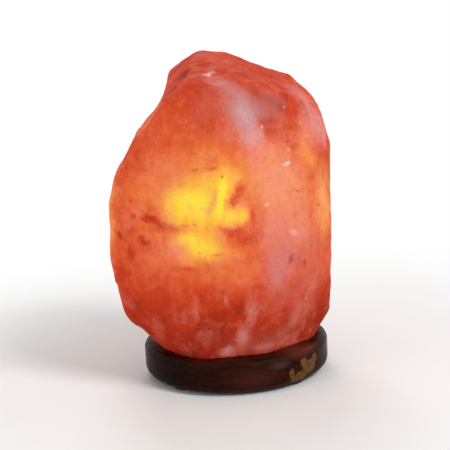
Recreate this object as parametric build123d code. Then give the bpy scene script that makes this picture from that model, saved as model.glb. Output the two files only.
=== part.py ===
"""Salt crystal lamp: a rough rock-salt crystal, hollowed from below, on a turned wooden base.

A lampholder on a round steel plate stands inside the crystal. Two spring clips grip it in the base's
hole, and it pulls out downwards to change the bulb.

Millimetres, +Z up, the front faces -Y. The origin is on the base's axis, in the plane of the feet.
"""
from build123d import *
from math import cos, pi, radians, sin, sqrt
import os

# ------------------------------------------------------------------ wooden base
FOOT_RADIUS = 7.0
FOOT_HEIGHT = 2.0
FOOT_INSET = 13.0  # from the base's rim to a foot's centre
FOOT_ANGLES = (45, 135, 225, 315)
BASE_RADIUS = 65.0
BASE_THICKNESS = 23.0
BASE_LOWER_EDGE_RADIUS = 7.0
BASE_UPPER_EDGE_RADIUS = 4.5
BASE_HOLE_RADIUS = 23.0
PLATE_RECESS_DEPTH = 9.0
GROOVE_WIDTH = 8.0
GROOVE_DEPTH = 8.0

# ------------------------------------------------------------------ screws that hold the crystal
SCREW_ANGLES = (-90, 30, 150)
SCREW_RADIUS = 2.2
SCREW_HEAD_RADIUS = 4.2
SCREW_HEAD_HEIGHT = 2.6
SCREW_LENGTH = 43.0  # under the head
SCREW_TIP = 5.0
SCREW_SLOT_WIDTH = 1.2
SCREW_SLOT_DEPTH = 1.2
SCREW_SINK_DEPTH = 5.0
SCREW_SINK_WALL = 6.5  # wood left between the plate's recess and a screw's counterbore
PLUG_RADIUS = 4.0
PLUG_LENGTH = 30.0
HOLE_CLEARANCE = 0.3  # round a screw in the wood, and round its head
PLUG_CLEARANCE = 0.1
PILOT_END_ROOM = 4.0  # left past the tip of a screw

# ------------------------------------------------------------------ salt crystal
# The crystal is a block split along flat faces and worn round at its edges. Each face is given by
# its azimuth (0 right, -90 front, 90 back), its tilt above the horizontal, and its distance from
# the core, in degrees and millimetres.
CORE_X = -5.0
CORE_Y = 0.0
CORE_HEIGHT = 93.0  # above the wood
CRYSTAL_EDGE_RADIUS = 14.0
CRYSTAL_FACES = {
    "crown": (-62, 72, 100.0),
    "crown_right": (-17, 63, 97.0),
    "crown_left": (190, 50, 89.5),
    "crown_back": (78, 52, 94.0),
    "left_slope": (180, 31, 76.0),
    "left_shoulder": (178, 16, 74.5),
    "left_side": (180, 3, 75.5),
    "left_low": (182, -10, 82.0),
    "left_flare": (188, -34, 99.0),
    "left_foot": (188, -52, 99.5),
    "front_left_upper": (-113, 14, 77.0),
    "front_left": (-112, -3, 70.0),
    "front_left_lower": (-126, -22, 86.0),
    "front_right": (-66, 2, 71.0),
    "front_right_upper": (-60, 20, 79.5),
    "front_lower": (-82, -18, 79.0),
    "front_right_lower": (-48, -22, 85.0),
    "right_side": (0, -2, 75.0),
    "right_front_edge": (-28, 1, 77.0),
    "right_shoulder": (-5, 42, 96.0),
    "right_upper": (0, 15, 85.0),
    "right_flare": (-8, -34, 102.5),
    "back_right": (55, 4, 72.0),
    "back": (95, 6, 66.0),
    "back_left": (140, 2, 70.0),
    "back_flare": (90, -26, 80.0),
    "right_back_flare": (45, -28, 90.0),
    "left_back_flare": (135, -28, 90.0),
}
# Hollows struck into those faces. Each is given by the azimuth and tilt of its place, as seen from the
# core, its depth, and the radius that it is curved to. The notch is a level trough, the dents are dishes.
CRYSTAL_NOTCH = (190, 60, 4.5, 60.0)
CRYSTAL_DENTS = {
    "crown": (-50, 56, 1.5, 34.0),
    "upper_front": (-72, 47, 1.2, 60.0),
    "shoulder": (-46, 38, 1.5, 40.0),
    "right_front": (-40, -6, 1.2, 60.0),
    "lower_front": (-100, -30, 1.2, 50.0),
    "upper_back": (75, 30, 3.0, 50.0),
    "lower_back": (92, -34, 2.5, 45.0),
    "back_left": (138, -14, 2.5, 55.0),
    "back_right": (30, 0, 2.5, 55.0),
    "left_back": (165, 6, 1.5, 60.0),
}
CHAMBER_MARGIN = 1.0  # the chamber's radius over the base's hole
CHAMBER_END_ROOM = 7.0  # over a fully unscrewed bulb
CHAMBER_END_RADIUS = 6.0

# ------------------------------------------------------------------ plate, nipple and nuts
PLATE_RADIUS = 30.0
PLATE_THICKNESS = 1.2
PLATE_RIM_HEIGHT = 3.0
RECESS_CLEARANCE = 1.0
VENT_RADIUS = 2.0
VENT_CIRCLE = 22.0
VENT_ANGLES = (-125, -90, -55, 55, 90, 125)
NIPPLE_RADIUS = 5.0
NIPPLE_BORE_RADIUS = 3.5
NIPPLE_END_ROOM = 0.8  # shown past each nut
NUT_ACROSS_FLATS = 14.0
NUT_HEIGHT = 3.0
SMALL_CLEARANCE = 0.1  # round the nipple and the other fixed inner pieces
BUSH_FLANGE_RADIUS = 6.2
BUSH_FLANGE_THICKNESS = 0.8
BUSH_LENGTH = 4.0
BUSH_WALL = 0.5

# ------------------------------------------------------------------ spring clips
CLIP_WIDTH = 8.0
CLIP_THICKNESS = 0.6
CLIP_BEND_RADIUS = 1.0
CLIP_HOOK = 3.5
CLIP_LEG_X = 18.5  # where the strip passes through the plate
CLIP_WALL_GAP = 0.35
CLIP_SLOT_ROOM = 0.9
CLIP_GRIP_HEIGHT = 8.5  # of the bulge above the plate
CLIP_TOP_HEIGHT = 29.0
CLIP_TOP_SETBACK = 3.4  # of the finger tab, inwards from the bulge

# ------------------------------------------------------------------ lampholder
HOLDER_RADIUS = 13.0
HOLDER_WALL = 1.4
HOLDER_HEIGHT = 85.0
HOLDER_LIP = 1.2
HOLDER_MOUTH_RADIUS = 9.0
SOCKET_LENGTH = 36.0
SOCKET_DEPTH = 22.0
SOCKET_FLOOR = 8.0
SOCKET_LEDGE = 2.0
SOCKET_LEDGE_RADIUS = 6.9
TERMINAL_CAVITY_RADIUS = 9.4
SLEEVE_RADIUS = 7.15  # inside, at the roots of the thread
SLEEVE_WALL = 0.4
SLEEVE_LENGTH = 17.0
BRACKET_THICKNESS = 1.0
BRACKET_WIDTH = 8.0
BRACKET_FOOT_RADIUS = 8.6
BRACKET_GAP = 1.4  # between a nut's flat and the strap
BRACKET_SCREW_RADIUS = 1.2
BRACKET_SCREW_LENGTH = 4.5
BRACKET_HEAD_RADIUS = 2.0
BRACKET_HEAD_HEIGHT = 1.4
CONTACT_WIDTH = 4.0
CONTACT_THICKNESS = 0.5
CONTACT_LEG_X = 6.5
CONTACT_REACH = 2.5  # of the centre contact past the axis
CONTACT_LEG_DROP = 4.6  # into the terminal cavity
TERMINAL_SIZE = 4.4
TERMINAL_WIRE_RADIUS = 1.0
TERMINAL_SCREW_RADIUS = 0.9
TERMINAL_HEAD_RADIUS = 1.7
TERMINAL_HEAD_HEIGHT = 1.1

# ------------------------------------------------------------------ thread of the cap and the sleeve
THREAD_PITCH = 2.822
THREAD_TURNS = 4
CAP_RIDGE_RADIUS = 0.70
SLEEVE_RIDGE_RADIUS = 0.66

# ------------------------------------------------------------------ bulb
BULB_LENGTH = 57.0
GLASS_RADIUS = 13.0
GLASS_WALL = 0.7
NECK_RADIUS = 5.8
NECK_INSERTION = 3.6
TIP_RADIUS = 2.4
TIP_HEIGHT = 1.6
TIP_GAP = 0.1  # to the centre contact
CAP_RADIUS = 6.2  # at the roots of the thread
CAP_WALL = 0.35
CAP_LIP = 0.45
CAP_INSULATOR_SHOULDER = 0.9
CAP_COLLAR_RADIUS = 6.9
CAP_COLLAR_LENGTH = 4.0
CAP_TOP_HEIGHT = 22.4  # above the tip of the bulb
CAP_SEAT_HEIGHT = 4.5  # of the shell's bottom above the tip
INSULATOR_RADIUS = 5.2
CEMENT_LENGTH = 3.4
STEM_FLARE_RADIUS = 5.3
STEM_FLARE_THICKNESS = 0.8
STEM_RADIUS = 2.0
STEM_HEIGHT = 16.0
LEAD_RADIUS = 0.3
LEAD_SPREAD = 6.0
LEAD_HEIGHT = 11.0
LEAD_FOOT = 1.2
SUPPORT_RADIUS = 0.2
FILAMENT_RADIUS = 0.35
FILAMENT_RISE = 1.6

# ------------------------------------------------------------------ levels and places that follow
wood_bottom = FOOT_HEIGHT
wood_top = wood_bottom + BASE_THICKNESS
plate_top = wood_bottom + PLATE_RECESS_DEPTH
plate_bottom = plate_top - PLATE_THICKNESS
recess_radius = PLATE_RADIUS + RECESS_CLEARANCE
foot_circle = BASE_RADIUS - FOOT_INSET
screw_circle = recess_radius + SCREW_SINK_WALL + SCREW_HEAD_RADIUS + HOLE_CLEARANCE
screw_seat = wood_bottom + SCREW_SINK_DEPTH
screw_end = screw_seat + SCREW_LENGTH

bracket_top = plate_top + BRACKET_THICKNESS
nipple_bottom = plate_bottom - NUT_HEIGHT - NIPPLE_END_ROOM
nipple_top = bracket_top + NUT_HEIGHT + NIPPLE_END_ROOM
strap_y = NUT_ACROSS_FLATS / 2 + BRACKET_GAP

holder_top = plate_top + HOLDER_HEIGHT
shell_bore_radius = HOLDER_RADIUS - HOLDER_WALL
socket_radius = shell_bore_radius - SMALL_CLEARANCE
socket_bottom = holder_top - SOCKET_LENGTH
socket_floor_top = holder_top - SOCKET_DEPTH
socket_floor_bottom = socket_floor_top - SOCKET_FLOOR
sleeve_bottom = socket_floor_top + SOCKET_LEDGE
sleeve_outer_radius = SLEEVE_RADIUS + SLEEVE_WALL
socket_bore_radius = SLEEVE_RADIUS + SLEEVE_RIDGE_RADIUS + SMALL_CLEARANCE

tip_bottom = socket_floor_top + CONTACT_THICKNESS + TIP_GAP
tip_top = tip_bottom + TIP_HEIGHT
cap_bottom = tip_bottom + CAP_SEAT_HEIGHT
cap_top = tip_bottom + CAP_TOP_HEIGHT
collar_bottom = cap_top - CAP_COLLAR_LENGTH
neck_bottom = cap_top - NECK_INSERTION
bulb_top = tip_bottom + BULB_LENGTH
glass_centre = bulb_top - GLASS_RADIUS
stem_top = neck_bottom + STEM_HEIGHT
filament_level = stem_top + LEAD_HEIGHT
cap_insulator_seat = cap_bottom + CAP_LIP
cap_insulator_top = cap_insulator_seat + CAP_INSULATOR_SHOULDER
cap_thread_start = cap_insulator_top + CAP_RIDGE_RADIUS + SMALL_CLEARANCE
sleeve_thread_start = cap_thread_start - THREAD_PITCH / 2
unscrew_travel = THREAD_PITCH * THREAD_TURNS

crystal_core = Vector(CORE_X, CORE_Y, wood_top + CORE_HEIGHT)
chamber_radius = BASE_HOLE_RADIUS + CHAMBER_MARGIN
chamber_top = bulb_top + unscrew_travel + CHAMBER_END_ROOM
clip_grip_x = sqrt(BASE_HOLE_RADIUS**2 - (CLIP_WIDTH / 2) ** 2) - CLIP_WALL_GAP

UPRIGHT = (Align.CENTER, Align.CENTER, Align.MIN)


# ------------------------------------------------------------------ helpers
def rod(radius, bottom, top, x=0.0, y=0.0):
    """A round bar along Z between two levels."""
    return Pos(x, y, bottom) * Cylinder(radius, top - bottom, align=UPRIGHT)


def tube(outer, inner, bottom, top):
    """A round tube along Z on the main axis."""
    return rod(outer, bottom, top) - rod(inner, bottom, top)


def block(low, high):
    """A box between two corners."""
    size = [b - a for a, b in zip(low, high)]
    middle = [(a + b) / 2 for a, b in zip(low, high)]
    return Pos(*middle) * Box(*size)


def at_angle(radius, degrees):
    """The X and Y of a point on a circle about the main axis."""
    return radius * cos(radians(degrees)), radius * sin(radians(degrees))


def turned(points):
    """A solid turned about the main axis from corners given as radius and height."""
    outline = make_face(Polyline(*[(r, 0, z) for r, z in points], close=True))
    return revolve(outline, axis=Axis.Z)


def wire(points, radius):
    """A thin round wire along straight runs."""
    path = Polyline(*points)
    return sweep(Plane(origin=path @ 0, z_dir=path % 0) * Circle(radius), path=path, transition=Transition.ROUND)


def thread_ridge(radius, ridge_radius, bottom):
    """A right-hand helical ridge of round section, centred on the given radius."""
    path = Pos(0, 0, bottom) * Helix(THREAD_PITCH, THREAD_PITCH * THREAD_TURNS, radius)
    return sweep(Plane(origin=path @ 0, z_dir=path % 0) * Circle(ridge_radius), path=path, is_frenet=True)


# ------------------------------------------------------------------ base
def screw_places():
    return [at_angle(screw_circle, angle) for angle in SCREW_ANGLES]


def wooden_base():
    base = rod(BASE_RADIUS, wood_bottom, wood_top)
    base = fillet(base.edges().group_by(Axis.Z)[0], BASE_LOWER_EDGE_RADIUS)
    base = fillet(base.edges().group_by(Axis.Z)[-1], BASE_UPPER_EDGE_RADIUS)
    base -= rod(BASE_HOLE_RADIUS, wood_bottom, wood_top)
    base -= rod(recess_radius, wood_bottom, plate_top)
    base -= block(
        (-GROOVE_WIDTH / 2, 0, wood_bottom), (GROOVE_WIDTH / 2, BASE_RADIUS, wood_bottom + GROOVE_DEPTH)
    )
    for x, y in screw_places():
        base -= rod(SCREW_RADIUS + HOLE_CLEARANCE, wood_bottom, wood_top, x, y)
        base -= rod(SCREW_HEAD_RADIUS + HOLE_CLEARANCE, wood_bottom, screw_seat, x, y)
    return base


def rubber_feet():
    places = [at_angle(foot_circle, angle) for angle in FOOT_ANGLES]
    return Part() + [rod(FOOT_RADIUS, 0, FOOT_HEIGHT, x, y) for x, y in places]


def crystal_screw(x, y):
    head = rod(SCREW_HEAD_RADIUS, screw_seat - SCREW_HEAD_HEIGHT, screw_seat, x, y)
    head = chamfer(head.edges().group_by(Axis.Z)[0], SCREW_HEAD_HEIGHT / 3)
    slot_level = screw_seat - SCREW_HEAD_HEIGHT + SCREW_SLOT_DEPTH / 2
    slot = Pos(x, y, slot_level) * Box(2 * SCREW_HEAD_RADIUS, SCREW_SLOT_WIDTH, SCREW_SLOT_DEPTH)
    shank = rod(SCREW_RADIUS, screw_seat, screw_end - SCREW_TIP, x, y)
    tip = Pos(x, y, screw_end - SCREW_TIP) * Cone(SCREW_RADIUS, SCREW_RADIUS / 8, SCREW_TIP, align=UPRIGHT)
    return head - slot + shank + tip


def crystal_screws():
    return Part() + [crystal_screw(x, y) for x, y in screw_places()]


def crystal_plug(x, y):
    plug = rod(PLUG_RADIUS, wood_top, wood_top + PLUG_LENGTH, x, y)
    return plug - rod(SCREW_RADIUS + PLUG_CLEARANCE, wood_top, wood_top + PLUG_LENGTH, x, y)


def crystal_plugs():
    return Part() + [crystal_plug(x, y) for x, y in screw_places()]


# ------------------------------------------------------------------ crystal
def outward(azimuth, tilt):
    """The unit vector that points away from the core at these angles."""
    x, y = at_angle(cos(radians(tilt)), azimuth)
    return Vector(x, y, sin(radians(tilt)))


def split_block():
    """The block of salt, split along its faces and rounded at every edge."""
    half = 2 * max(reach for _, _, reach in CRYSTAL_FACES.values())
    salt = block((-half, -half, wood_top - CRYSTAL_EDGE_RADIUS), (half, half, crystal_core.Z + half))
    for azimuth, tilt, reach in CRYSTAL_FACES.values():
        normal = outward(azimuth, tilt)
        face = Plane(origin=crystal_core + normal * (reach - CRYSTAL_EDGE_RADIUS), z_dir=normal)
        salt = split(salt, face, keep=Keep.BOTTOM)
    return offset(salt, amount=CRYSTAL_EDGE_RADIUS, kind=Kind.ARC)


def hollow_place(azimuth, tilt, depth, radius):
    """The middle of a hollow's curve. Its Z is the normal of the face that is struck, and its X is level."""
    sight = outward(azimuth, tilt)
    met = {}
    for face_azimuth, face_tilt, reach in CRYSTAL_FACES.values():
        normal = outward(face_azimuth, face_tilt)
        if sight.dot(normal) > 0:
            met[reach / sight.dot(normal)] = normal
    distance = min(met)
    normal = met[distance]
    middle = crystal_core + sight * distance + normal * (radius - depth)
    return Plane(origin=middle, x_dir=Vector(0, 0, 1).cross(normal), z_dir=normal)


def struck_block():
    """The split block with its notch and its dents."""
    notch_radius = CRYSTAL_NOTCH[-1]
    trough = Rot(0, 90, 0) * Cylinder(notch_radius, 4 * notch_radius)
    salt = split_block() - hollow_place(*CRYSTAL_NOTCH) * trough
    for dent in CRYSTAL_DENTS.values():
        salt -= hollow_place(*dent) * Sphere(dent[-1])
    return salt


def salt_crystal():
    salt = split(struck_block(), Plane.XY.offset(wood_top), keep=Keep.TOP)
    chamber = rod(chamber_radius, wood_top, chamber_top)
    salt -= fillet(chamber.edges().group_by(Axis.Z)[-1], CHAMBER_END_RADIUS)
    pilot_end = max(wood_top + PLUG_LENGTH, screw_end + PILOT_END_ROOM)
    for x, y in screw_places():
        salt -= rod(PLUG_RADIUS + PLUG_CLEARANCE, wood_top, pilot_end, x, y)
    return salt


# ------------------------------------------------------------------ plate and its clips
def mounting_plate():
    plate = rod(PLATE_RADIUS, plate_bottom, plate_top)
    plate += tube(PLATE_RADIUS, PLATE_RADIUS - PLATE_THICKNESS, plate_top - PLATE_RIM_HEIGHT, plate_top)
    plate = fillet(plate.edges().filter_by(GeomType.CIRCLE).group_by(Axis.Z)[-1], PLATE_THICKNESS / 2)
    plate -= rod(NIPPLE_RADIUS + SMALL_CLEARANCE, plate_bottom, plate_top)
    for angle in VENT_ANGLES:
        plate -= rod(VENT_RADIUS, plate_bottom, plate_top, *at_angle(VENT_CIRCLE, angle))
    slot_half = CLIP_WIDTH / 2 + CLIP_SLOT_ROOM / 2
    for side in (-1, 1):
        middle = side * (CLIP_LEG_X + CLIP_THICKNESS / 2)
        half = CLIP_THICKNESS / 2 + CLIP_SLOT_ROOM
        plate -= block((middle - half, -slot_half, plate_bottom), (middle + half, slot_half, plate_top))
    return plate


def spring_clip(side):
    """A bent steel strip: a hook under the plate, a bulge that meets the hole, and a finger tab."""
    hook_level = plate_bottom - CLIP_THICKNESS / 2
    leg_x = CLIP_LEG_X + CLIP_THICKNESS / 2
    bulge_x = clip_grip_x - CLIP_THICKNESS / 2
    grip_level = plate_top + CLIP_GRIP_HEIGHT
    top_level = plate_top + CLIP_TOP_HEIGHT
    points = [
        (leg_x - CLIP_HOOK, hook_level),
        (leg_x, hook_level),
        (leg_x, plate_top + CLIP_WIDTH / 4),
        (bulge_x, grip_level - CLIP_WIDTH / 4),
        (bulge_x, grip_level + CLIP_WIDTH / 4),
        (bulge_x - CLIP_TOP_SETBACK, top_level - CLIP_WIDTH / 2),
        (bulge_x - CLIP_TOP_SETBACK / 2, top_level),
    ]
    path = FilletPolyline(*[(side * x, 0, z) for x, z in points], radius=CLIP_BEND_RADIUS)
    section = Plane(origin=path @ 0, x_dir=(0, 1, 0), z_dir=path % 0) * Rectangle(CLIP_WIDTH, CLIP_THICKNESS)
    return sweep(section, path=path)


# ------------------------------------------------------------------ nipple, nuts and bush
def threaded_nipple():
    return tube(NIPPLE_RADIUS, NIPPLE_BORE_RADIUS, nipple_bottom, nipple_top)


def lock_nut(bottom):
    outline = RegularPolygon(NUT_ACROSS_FLATS / 2, 6, major_radius=False, rotation=30)
    nut = Pos(0, 0, bottom) * extrude(outline, amount=NUT_HEIGHT)
    return nut - rod(NIPPLE_RADIUS, bottom, bottom + NUT_HEIGHT)


def lock_nuts():
    return Part() + [lock_nut(plate_bottom - NUT_HEIGHT), lock_nut(bracket_top)]


def inlet_bush():
    flange = rod(BUSH_FLANGE_RADIUS, nipple_bottom - BUSH_FLANGE_THICKNESS, nipple_bottom)
    flange = fillet(flange.edges().group_by(Axis.Z)[0], BUSH_FLANGE_THICKNESS / 2)
    spigot_radius = NIPPLE_BORE_RADIUS - SMALL_CLEARANCE
    spigot = rod(spigot_radius, nipple_bottom, nipple_bottom + BUSH_LENGTH)
    hole = rod(spigot_radius - BUSH_WALL, nipple_bottom - BUSH_FLANGE_THICKNESS, nipple_bottom + BUSH_LENGTH)
    return flange + spigot - hole


# ------------------------------------------------------------------ lampholder
def socket_bracket():
    """A steel strap from the nipple's foot up to the socket."""
    half = BRACKET_WIDTH / 2
    outer_y = strap_y + BRACKET_THICKNESS
    foot = rod(BRACKET_FOOT_RADIUS, plate_top, bracket_top)
    foot += block((-half, 0, plate_top), (half, outer_y, bracket_top))
    foot -= rod(NIPPLE_RADIUS + SMALL_CLEARANCE, plate_top, bracket_top)
    strap = block((-half, strap_y, plate_top), (half, outer_y, socket_bottom))
    tab = block((-half, strap_y - half, socket_bottom - BRACKET_THICKNESS), (half, outer_y, socket_bottom))
    hole = rod(
        BRACKET_SCREW_RADIUS + SMALL_CLEARANCE, socket_bottom - BRACKET_THICKNESS, socket_bottom, 0, tab_screw_y()
    )
    return foot + strap + (tab - hole)


def tab_screw_y():
    return strap_y - BRACKET_HEAD_RADIUS


def bracket_screw():
    seat = socket_bottom - BRACKET_THICKNESS
    y = tab_screw_y()
    shank = rod(BRACKET_SCREW_RADIUS, seat, seat + BRACKET_SCREW_LENGTH, 0, y)
    return shank + rod(BRACKET_HEAD_RADIUS, seat - BRACKET_HEAD_HEIGHT, seat, 0, y)


def lampholder_shell():
    shell = tube(HOLDER_RADIUS, shell_bore_radius, plate_top, holder_top)
    shell += tube(HOLDER_RADIUS, HOLDER_MOUTH_RADIUS, holder_top, holder_top + HOLDER_LIP)
    rim = shell.edges().filter_by(GeomType.CIRCLE).group_by(Axis.Z)[-1]
    return fillet(rim, HOLDER_LIP * 0.45)


def contact_strip(side, grow=0.0):
    """The brass strip on one side: a tongue in the socket and a leg down to its terminal."""
    half = CONTACT_WIDTH / 2 + grow
    leg_low = socket_floor_bottom - CONTACT_LEG_DROP - grow
    inner = CONTACT_LEG_X - CONTACT_THICKNESS - grow
    outer = CONTACT_LEG_X + grow
    if side < 0:
        level = socket_floor_top + CONTACT_THICKNESS
        tongue = block(
            (-outer, -half, socket_floor_top - grow), (CONTACT_REACH + grow, half, level + grow)
        )
    else:
        level = sleeve_bottom
        tongue = block(
            (inner, -half, sleeve_bottom - CONTACT_THICKNESS - grow), (sleeve_outer_radius + grow, half, level)
        )
    ends = sorted((side * inner, side * outer))
    return tongue + block((ends[0], -half, leg_low), (ends[1], half, level))


def centre_contact():
    return contact_strip(-1)


def side_contact():
    return contact_strip(1)


def terminal_block(side):
    inner = CONTACT_LEG_X - CONTACT_THICKNESS
    xs = sorted((side * inner, side * (inner - TERMINAL_SIZE)))
    low = socket_floor_bottom - TERMINAL_SIZE
    half = TERMINAL_SIZE / 2
    body = block((xs[0], -half, low), (xs[1], half, socket_floor_bottom))
    middle = side * (inner - half)
    wire_hole = Pos(middle, 0, low + half) * Rot(90, 0, 0) * Cylinder(TERMINAL_WIRE_RADIUS, TERMINAL_SIZE)
    return body - wire_hole - rod(TERMINAL_SCREW_RADIUS, low, low + half, middle, 0)


def terminal_blocks():
    return Part() + [terminal_block(-1), terminal_block(1)]


def terminal_screw(side):
    middle = side * (CONTACT_LEG_X - CONTACT_THICKNESS - TERMINAL_SIZE / 2)
    seat = socket_floor_bottom - TERMINAL_SIZE
    shank = rod(TERMINAL_SCREW_RADIUS, seat, seat + TERMINAL_SIZE / 2, middle, 0)
    return shank + rod(TERMINAL_HEAD_RADIUS, seat - TERMINAL_HEAD_HEIGHT, seat, middle, 0)


def terminal_screws():
    return Part() + [terminal_screw(-1), terminal_screw(1)]


def socket_insulator():
    """The insulating socket: a threaded well above, the terminals' cavity below."""
    socket = rod(socket_radius, socket_bottom, holder_top)
    socket -= rod(socket_bore_radius, sleeve_bottom, holder_top)
    socket -= rod(SOCKET_LEDGE_RADIUS, socket_floor_top, sleeve_bottom)
    cavity = rod(TERMINAL_CAVITY_RADIUS, socket_bottom, socket_floor_bottom)
    pad = block(
        (-BRACKET_WIDTH / 2, strap_y - BRACKET_WIDTH / 2, socket_bottom),
        (BRACKET_WIDTH / 2, socket_radius, socket_floor_bottom),
    )
    socket -= cavity - pad
    for side in (-1, 1):
        socket -= contact_strip(side, SMALL_CLEARANCE)
    seat = socket_bottom - BRACKET_THICKNESS
    return socket - rod(BRACKET_SCREW_RADIUS, seat, seat + BRACKET_SCREW_LENGTH, 0, tab_screw_y())


def thread_sleeve():
    sleeve = tube(sleeve_outer_radius, SLEEVE_RADIUS, sleeve_bottom, sleeve_bottom + SLEEVE_LENGTH)
    return sleeve + thread_ridge(SLEEVE_RADIUS, SLEEVE_RIDGE_RADIUS, sleeve_thread_start)


# ------------------------------------------------------------------ bulb
def bulb_solder_tip():
    tip = rod(TIP_RADIUS, tip_bottom, tip_top)
    return fillet(tip.edges().group_by(Axis.Z)[0], TIP_HEIGHT * 0.7)


def bulb_cap_insulator():
    shoulder = CAP_RADIUS - CAP_WALL - SMALL_CLEARANCE
    points = [
        (0, tip_top),
        (TIP_RADIUS, tip_top),
        (INSULATOR_RADIUS, cap_bottom - CAP_LIP),
        (INSULATOR_RADIUS, cap_insulator_seat),
        (shoulder, cap_insulator_seat),
        (shoulder, cap_insulator_top),
        (0, cap_insulator_top),
    ]
    return turned(points)


def bulb_cap():
    inner = CAP_RADIUS - CAP_WALL
    shell = tube(CAP_RADIUS, inner, cap_bottom, collar_bottom + CAP_WALL)
    shell += tube(CAP_RADIUS, INSULATOR_RADIUS + SMALL_CLEARANCE, cap_bottom, cap_insulator_seat)
    shell += tube(CAP_COLLAR_RADIUS, inner, collar_bottom, collar_bottom + CAP_WALL)
    shell += tube(CAP_COLLAR_RADIUS, CAP_COLLAR_RADIUS - CAP_WALL, collar_bottom, cap_top)
    return shell + thread_ridge(CAP_RADIUS, CAP_RIDGE_RADIUS, cap_thread_start)


def cap_cement():
    return tube(CAP_COLLAR_RADIUS - CAP_WALL, NECK_RADIUS, cap_top - CEMENT_LENGTH, cap_top)


def glass_body(inset):
    """The bulb's blown form, drawn in by a wall: neck, shoulder and round end."""
    neck = NECK_RADIUS - inset
    widest = GLASS_RADIUS - inset
    shoulder = Spline((neck, cap_top), (widest, glass_centre), tangents=((0, 1), (0, 1)))
    crown = CenterArc((0, glass_centre), widest, 0, 90)
    sides = Polyline((0, glass_centre + widest), (0, neck_bottom), (neck, neck_bottom), (neck, cap_top))
    return revolve(Plane.XZ * make_face(shoulder + crown + sides), axis=Axis.Z)


def bulb_glass():
    return glass_body(0) - glass_body(GLASS_WALL)


def bulb_stem():
    flare = rod(STEM_FLARE_RADIUS, neck_bottom - STEM_FLARE_THICKNESS, neck_bottom)
    stem = rod(STEM_RADIUS, neck_bottom, stem_top)
    return flare + fillet(stem.edges().group_by(Axis.Z)[-1], STEM_RADIUS / 4)


def lead_wire(side):
    foot = (side * LEAD_FOOT, 0, stem_top)
    bend = (side * LEAD_FOOT, 0, stem_top + LEAD_FOOT)
    shoulder = (side * LEAD_SPREAD, 0, filament_level - LEAD_SPREAD / 2)
    return wire([foot, bend, shoulder, (side * LEAD_SPREAD, 0, filament_level)], LEAD_RADIUS)


def bulb_lead_wires():
    return Part() + [lead_wire(-1), lead_wire(1)]


def bulb_support_wire():
    return rod(SUPPORT_RADIUS, stem_top, filament_level + FILAMENT_RISE - FILAMENT_RADIUS)


def bulb_filament():
    ends = LEAD_SPREAD - LEAD_RADIUS
    level = filament_level - FILAMENT_RADIUS
    arc = ThreePointArc((-ends, 0, level), (0, 0, filament_level + FILAMENT_RISE), (ends, 0, level))
    return sweep(Plane(origin=arc @ 0, z_dir=arc % 0) * Circle(FILAMENT_RADIUS), path=arc)


# ------------------------------------------------------------------ all pieces
PIECES = {
    "wooden_base": wooden_base,
    "rubber_feet": rubber_feet,
    "crystal_screws": crystal_screws,
    "crystal_plugs": crystal_plugs,
    "salt_crystal": salt_crystal,
    "mounting_plate": mounting_plate,
    "clip_left": lambda: spring_clip(-1),
    "clip_right": lambda: spring_clip(1),
    "threaded_nipple": threaded_nipple,
    "lock_nuts": lock_nuts,
    "inlet_bush": inlet_bush,
    "socket_bracket": socket_bracket,
    "bracket_screw": bracket_screw,
    "lampholder_shell": lampholder_shell,
    "socket_insulator": socket_insulator,
    "centre_contact": centre_contact,
    "side_contact": side_contact,
    "terminal_blocks": terminal_blocks,
    "terminal_screws": terminal_screws,
    "thread_sleeve": thread_sleeve,
    "bulb_solder_tip": bulb_solder_tip,
    "bulb_cap_insulator": bulb_cap_insulator,
    "bulb_cap": bulb_cap,
    "cap_cement": cap_cement,
    "bulb_glass": bulb_glass,
    "bulb_stem": bulb_stem,
    "bulb_lead_wires": bulb_lead_wires,
    "bulb_support_wire": bulb_support_wire,
    "bulb_filament": bulb_filament,
}

os.makedirs("parts", exist_ok=True)
for name, make in PIECES.items():
    export_step(make(), f"parts/{name}.step")

print(f"bulb tip {tip_bottom:.1f}, bulb top {bulb_top:.1f}, chamber top {chamber_top:.1f}")
print(f"holder top {holder_top + HOLDER_LIP:.1f}, rise per radian {THREAD_PITCH / (2 * pi):.4f}")
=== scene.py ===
import math

import bpy
import numpy as np
from mathutils import Matrix, Vector, noise


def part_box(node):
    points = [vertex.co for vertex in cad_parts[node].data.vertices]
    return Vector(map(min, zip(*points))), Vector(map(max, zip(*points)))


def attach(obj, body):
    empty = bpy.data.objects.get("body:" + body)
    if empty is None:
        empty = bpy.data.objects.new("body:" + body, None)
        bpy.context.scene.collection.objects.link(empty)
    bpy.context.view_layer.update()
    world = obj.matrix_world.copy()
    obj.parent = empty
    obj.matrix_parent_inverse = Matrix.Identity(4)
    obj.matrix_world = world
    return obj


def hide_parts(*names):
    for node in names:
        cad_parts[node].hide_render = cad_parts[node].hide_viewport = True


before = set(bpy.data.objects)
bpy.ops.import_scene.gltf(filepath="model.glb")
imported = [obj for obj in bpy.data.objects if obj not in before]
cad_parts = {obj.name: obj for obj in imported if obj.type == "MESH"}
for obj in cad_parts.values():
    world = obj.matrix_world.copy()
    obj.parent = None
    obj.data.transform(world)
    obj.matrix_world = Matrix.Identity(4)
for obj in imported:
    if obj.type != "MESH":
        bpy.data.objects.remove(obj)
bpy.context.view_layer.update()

MM = 0.001

# The stone, in millimetres. Front is -Y, the bulb stands on the Z axis.
FOOT_HEIGHT = 25.0          # the stone's flat foot, on the wooden base
CHAMBER_RADIUS = 24.0
CHAMBER_TOP = 150.0
PLUG_CIRCLE = 42.0          # where the three screws enter the foot
PLUG_ANGLES = (-90, 30, 150)
PLUG_REACH = 60.0           # nothing near a plug's axis is moved up to this height
SKIN_SIZE = 1.2             # the voxel that the stone's skin is made of

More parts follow.
